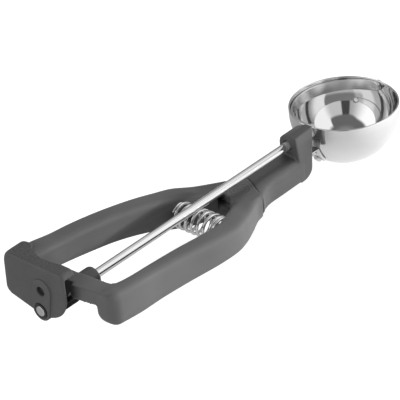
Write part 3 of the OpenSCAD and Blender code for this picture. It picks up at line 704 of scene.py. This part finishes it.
def handle_lever():
    """Hub, arm, tongue and web of the lever grown into one moulding."""
    body = Shell()
    body.tube(arm_rings(LEVER_ARM, LEVER_LEN, -1, LEVER_RISE_UNDER, LEVER_RISE_TOP, LEVER_ROUND))
    body.tube(upright(hub_edge(0), LAP_Z + 0.5, NECK_TOP))
    # The tongue's narrow tip and its wide part, by their angles from the line to the pinion
    tip_end, tip_root, wide_from, root = np.array([-2.2, 16, 11.2, 28]) / SECTOR_R
    body.tube(ring_part(SECTOR_IN, SECTOR_OUT, TONGUE_UNDER, TONGUE_TOP, tip_end, tip_root))
    tongue = ring_part(SECTOR_IN, TONGUE_OUT, TONGUE_UNDER, TONGUE_TOP, wide_from, root)
    # Over the arm the tongue's top follows the arm's
    over_arm = np.clip((-14 - tongue[:, 2:, 1]) / 8, 0, 1)
    tongue[:, 2:, 2] -= over_arm * np.clip(TONGUE_TOP + 0.1 - arm_top(tongue[:, 2:, 0]), 0, None)
    body.tube(tongue)
    # Fillet of radius r in the corner between tongue and arm
    r, fillet_y, inside_arm, sunk = 8, -17, -29, 1.2
    a = np.linspace(math.pi, 1.5 * math.pi, 24)
    corner = np.column_stack([PIVOT_X - SECTOR_IN + r + r * np.cos(a), fillet_y + r * np.sin(a)])
    corner = np.vstack([corner, [-189, inside_arm], [-200, inside_arm], [-200, fillet_y]])
    fillet = np.stack(upright(corner, TONGUE_UNDER, TONGUE_TOP))
    fillet[1, :, 2] = arm_top(corner[:, 0]) - sunk
    body.tube(fillet)
    lug_hole = [[NECK_BOTTOM - 2, LUG_R + MOVE_GAP], [LAP_Z + 0.5, LUG_R + MOVE_GAP]]
    behind_hub = np.array([[-86.6, 14], [-86.6, 1.2], [-94.4, -5], [-99, -1], [-99, 14]])
    past_seam = np.vstack([HUB_SEAM[::-1], [[-79.2, -30], [-50, -30], [-50, 3]]])
    cuts = [
        turned_round(lug_hole, "z", about=(PIVOT_X, 0, 0)),
        block((PIVOT_X + 2.7, -25, NECK_BOTTOM - 1), (PIVOT_X + 40, 25, LAP_Z + 0.5)),
        upright(behind_hub, LAP_Z - 2, NECK_TOP + 3),
        upright(past_seam + [0.1, 0], NECK_BOTTOM - 2, NECK_TOP + 2)]
    return moulded("handle_lever", body, cuts, voxel=0.42, smooth=5)


def sector_teeth():
    """Teeth of the lever's sector: tooth k is a rack tooth that runs along the line from the pivot at the
    angle k * step, with its root at pitch + root and its tip at pitch + tip."""
    lean, tip, root, thinner = math.tan(math.radians(25)), -0.9, 1.45, 0.075
    middle = MODULE * math.pi / 4 - thinner
    profile = np.array([
        [-middle - root * lean, root], [-middle - tip * lean, tip],
        [middle + tip * lean, tip], [middle + root * lean, root]])
    teeth = Shell()
    for k in range(TEETH):
        a = math.pi + k * TOOTH_STEP
        along, across = np.array([math.cos(a), math.sin(a)]), np.array([-math.sin(a), math.cos(a)])
        rings = []
        for r in (SECTOR_IN, SECTOR_OUT):
            flat = np.array([PIVOT_X, 0]) + r * along + profile[:, :1] * across
            rings.append(np.column_stack([flat, PITCH_R + profile[:, 1]]))
        teeth.tube(rings)
    return outward(teeth.mesh("sector_teeth"))


def hood_outline(inset, per_corner=33, points=240):
    """Rear view (y, z) of the cover: each corner's arc centre + (radius - inset)(cos a, sin a), joined in
    turn and divided evenly, so that the long straight stretches are as fine as the corners."""
    parts = []
    for middle, radius, start, end in COVER_CORNERS:
        a = np.radians(np.linspace(start, end, per_corner))
        parts.append(np.array(middle) + (radius - inset) * np.column_stack([np.cos(a), np.sin(a)]))
    line = np.vstack(parts + [parts[0][:1]])
    run = np.concatenate([[0], np.cumsum(np.hypot(*np.diff(line, axis=0).T))])
    even = np.linspace(0, run[-1], points, endpoint=False)
    return np.column_stack([np.interp(even, run, line[:, 0]), np.interp(even, run, line[:, 1])])


def seam_front(y):
    """Where the roof ends at side y: nearly straight on the near side, and on a circle round the fixed
    arm, x = centre - sqrt(r^2 - d^2)."""
    sweep, sweep_width = 1.2, 10
    curve = SEAM_X - np.sqrt(np.maximum(SEAM_R**2 - (y - SEAM_Y)**2, 0))
    straight = SEAM_X - SEAM_R + sweep * np.clip((SEAM_Y - y) / sweep_width, 0, 1)**2
    return np.where(y < SEAM_Y, straight, np.minimum(curve, COVER_FRONT))


def gear_hood():
    """Cover: its outline carried forward with a round rear edge, hollowed from the front, with a raised pad
    round the screw and the rod."""
    turn = np.linspace(0, math.pi / 2, 8)
    bend = COVER_BACK + COVER_WALL + np.linspace(0.01, COVER_TURN - COVER_WALL, 8)
    past_bend = -208
    x = np.concatenate([COVER_BACK + COVER_EDGE * (1 - np.cos(turn)), bend, [past_bend, COVER_FRONT]])
    inset = np.concatenate([COVER_EDGE * (1 - np.sin(turn)), np.zeros(len(bend) + 2)])
    body = Shell()
    body.tube(slab(x, inset))
    # Pad: the envelope of two circles, with a small bevel at its rear edge
    around = 160
    a = np.arange(around) / around * TAU
    d = np.column_stack([np.cos(a), np.sin(a)])
    rings = []
    for at, less in ((ROD_BACK, PAD_BEVEL), (ROD_BACK + PAD_BEVEL, 0), (COVER_MOUTH + 0.5, 0)):
        upper, lower = np.array(PAD_HIGH) + (PAD_HIGH_R - less) * d, (PAD_LOW_R - less) * d
        first = (upper * d).sum(1) > (lower * d).sum(1)
        rings.append(np.column_stack([np.full(around, at), np.where(first[:, None], upper, lower)]))
    body.tube(rings)
    # In front of the seam everything goes, up to the far wall
    hollow_end, ahead, seam_end = -195, -180, 14.6
    seam_y = np.concatenate([[-ASIDE], np.linspace(-12, 14.4, 40)])
    front = np.column_stack([seam_front(seam_y), seam_y])
    front = np.vstack([[ahead, -ASIDE], front, [hollow_end, seam_end], [ahead, seam_end]])
    hollow = [COVER_BACK + 1.2, *bend, hollow_end]
    far_wall, shaft_end, screw_end = 13.5, -200, -213.1
    cuts = [
        slab(hollow, [COVER_WALL] * len(hollow), top=ROOF_UNDER, wall=COVER_WALL),
        upright(front, BELOW, ABOVE),
        block((COVER_MOUTH, -ASIDE, BELOW), (ahead, far_wall, ROOF_UNDER)),
        block((COVER_MOUTH, 0, BELOW - 0.5), (ahead - 1, ASIDE + 1, COVER_SIDE_BOTTOM)),
        turned_round([[BEHIND, SHAFT_HOLE_R], [shaft_end, SHAFT_HOLE_R]], "x", 64),
        turned_round([[BEHIND, RECESS_R], [ROD_BACK + RECESS_DEPTH, RECESS_R]], "x", 64),
        turned_round([[BEHIND, SCREW_HOLE_R], [screw_end, SCREW_HOLE_R]], "x", 64, SCREW_PLACE)]
    return moulded("gear_hood", body, cuts, voxel=0.26, smooth=2)


shown("handle_frame", handle_frame(), frame_plastic_painted_shade, "frame", ["frame"])
shown("handle_lever", handle_lever(), handle_plastic, "lever", ["lever"])
shown("sector_teeth", sector_teeth(), handle_plastic, "lever", (), sharp=30)
shown("gear_hood", gear_hood(), cover_plastic, "frame", ["gear_cover"])


# ---------------------------------------------------------------- carried-over nodes

NODES_OF_FINISH = [
    (black_steel, ["cover_screw"]),
    (bush_plastic, ["rear_bush", "pinion"]),
    (strap_steel, ["strap_rivets", "tang_screw"]),
    (rod_steel, ["rod_sleeve", "pivot_pin", "pivot_washer", "pinion_pin", "thrust_washer"]),
    (scraper_steel, ["scraper_pin"])]
for finish, node_names in NODES_OF_FINISH:
    for node_name in node_names:
        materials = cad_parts[node_name].data.materials
        materials.clear()
        materials.append(finish)


# ---------------------------------------------------------------- camera, floor and light

# The camera's place in rod coordinates, its right, down and forward directions, and its lens over its width
EYE = np.array([-734.358, -627.757, 547.242])
RIGHT, DOWN, FORWARD = np.array([
    [0.664143, -0.741899, -0.092194],
    [-0.444254, -0.292460, -0.846821],
    [0.601292, 0.603368, -0.523827]])
FOCAL_SHARE = 5.5

LAMP_AIM = (0, 0, 0.02)
SURROUND_LIGHT = 0.13
# Level directions from the bowl: towards the dark gap between the panels, and to the right of it
GAP_WAY, RIGHT_WAY = (-0.805, -0.593, 0), (0.593, -0.805, 0)


def camera():
    """Camera at EYE. The nearest true rotation to its three measured directions is u v of their SVD."""
    data = bpy.data.cameras.new("camera")
    data.sensor_width = 36
    data.lens = data.sensor_width * FOCAL_SHARE
    data.clip_start, data.clip_end = 0.05, 20
    made = bpy.data.objects.new("camera", data)
    bpy.context.scene.collection.objects.link(made)
    u, _, v = np.linalg.svd(np.column_stack([RIGHT, -DOWN, -FORWARD]))
    made.matrix_world = Matrix.Translation(to_row(EYE)) @ Matrix((u @ v).tolist()).to_4x4()
    bpy.context.scene.camera = made


def lamp(name, place, width, height, power):
    """Soft box: an area lamp at a place in metres, turned towards the object."""
    data = bpy.data.lights.new(name, "AREA")
    data.shape, data.size, data.size_y, data.energy = "RECTANGLE", width, height, power
    made = bpy.data.objects.new(name, data)
    bpy.context.scene.collection.objects.link(made)
    made.location = place
    made.rotation_mode = "QUATERNION"
    made.rotation_quaternion = (Vector(LAMP_AIM) - Vector(place)).to_track_quat("-Z", "Y")
    # Steel mirrors the drawn room instead of the bare lamps
    made.visible_glossy = False


def white_floor():
    """Pale floor that keeps the object's shadow and is otherwise white to the camera. What steel sees of it
    is
    painted light and shade: bright on the lever's side and under the bowl, and a painted shadow beside the
    bowl, away from the key lamp."""
    f = Finish("floor_white")
    shade = f.blend(f.noise(3, 2), grey(0.56), grey(0.58))
    matt = f.node("ShaderNodeBsdfDiffuse", {}, {"Color": shade})
    seen = f.node("ShaderNodeLightPath", out="Is Camera Ray")
    glossy = f.node("ShaderNodeLightPath", out="Is Glossy Ray")
    x, y = f.along(0), f.along(1)
    # Painted light and shade in what steel sees of the floor: a painted shadow of the bowl beside it, and
    # painted light towards the key lamp and round the bowl's foot
    dim = y.over(0.002, 0.03) * (1 - x.over(0.09, 0.12))
    bright = (x - y).over(0.08, 0.21)
    under_bowl = tuple(ROD_ORIGIN * (0.001, 0.001, 0))
    near = f.node("ShaderNodeVectorMath", {"operation": "DISTANCE"}, {0: f.place(), 1: under_bowl}, 1)
    level = (0.34 + 0.55 * bright + 0.3 * (1 - near.over(0.01, 0.07))) * (1 - 0.85 * dim)
    glow = f.node("ShaderNodeEmission", {}, {"Color": grey(1.0), "Strength": 0.88 * seen + level * glossy})
    f.node("ShaderNodeOutputMaterial", {}, {0: f.node("ShaderNodeAddShader", {}, {0: matt, 1: glow})})
    mesh = bpy.data.meshes.new("floor")
    w = 4.0
    mesh.from_pydata([(-w, -w, 0), (w, -w, 0), (w, w, 0), (-w, w, 0)], [], [(0, 1, 2, 3)])
    mesh.materials.append(f.data)
    floor = bpy.data.objects.new("floor", mesh)
    bpy.context.scene.collection.objects.link(floor)


def surround():
    """World light: white to the camera, the drawn room to steel, and a plain grey to everything else."""
    w = Finish("surround", world=True)
    bpy.context.scene.world = w.data
    seen = w.node("ShaderNodeLightPath", out="Is Camera Ray")
    glossy = w.node("ShaderNodeLightPath", out="Is Glossy Ray")
    plain = w.node("ShaderNodeBackground", {}, {0: grey(1.0), 1: SURROUND_LIGHT})
    white = w.node("ShaderNodeBackground", {}, {0: grey(1.0), 1: 1.0})
    mirror = w.node("ShaderNodeBackground", {}, {0: room(w), 1: 1.0})
    mixed = w.node("ShaderNodeMixShader", {}, {0: glossy, 1: plain, 2: mirror})
    mixed = w.node("ShaderNodeMixShader", {}, {0: seen, 1: mixed, 2: white})
    w.node("ShaderNodeOutputWorld", {}, {0: mixed})


def room(w):
    """What steel reflects, as shades by direction: a tall soft panel on each side of a dark gap, a dim
    ceiling and a dim wall behind. turn is the angle in degrees to the right of the gap, and up is the sine
    of the elevation."""
    way = w.node("ShaderNodeTexCoord", out=0)
    toward, right, up = (
        w.node("ShaderNodeVectorMath", {"operation": "DOT_PRODUCT"}, {0: way, 1: axis}, 1)
        for axis in (GAP_WAY, RIGHT_WAY, (0, 0, 1)))
    turn = w.node("ShaderNodeMath", {"operation": "ARCTAN2"}, {0: right, 1: toward}) * (180 / math.pi)
    left_panel = 1.25 - 0.85 * turn.over(-58, -10)
    right_panel = 0.62 + 0.5 * turn.over(36, 58)
    panels = left_panel + (right_panel - left_panel) * turn.over(-1, 1)
    panels = panels * turn.size().over(8, 12) + 0.06
    top = 0.75 - 0.07 * turn.over(-45, -10) + 0.17 * turn.over(45, 60)
    ceiling = 0.16 + 0.15 * up.over(0.9, 1)
    front = panels + (ceiling - panels) * (up - top).over(-0.03, 0.05)
    band_above = 0.45 * up.over(0.5, 0.7) * (1 - up.over(0.85, 0.95))
    patch_right = 0.4 * turn.over(90, 96) * (1 - turn.over(125, 145))
    wall = 0.27 + band_above + patch_right
    behind = turn.over(97, 106) + (-turn).over(92, 100)
    shade = front + (wall - front) * behind
    return w.node("ShaderNodeCombineColor", {}, {0: shade, 1: shade, 2: shade})


camera()
white_floor()
surround()
lamp("key", (1.08, -0.52, 0.13), width=0.8, height=0.24, power=17)
lamp("side", (0.58, -1.0, 0.06), width=0.5, height=0.11, power=6.5)
lamp("fill", (-1.1, -0.1, 0.5), width=0.7, height=0.5, power=6.0)
lamp("top", (0.55, 0.55, 0.95), width=0.8, height=0.8, power=4.6)

bpy.context.scene.view_settings.view_transform = "Standard"
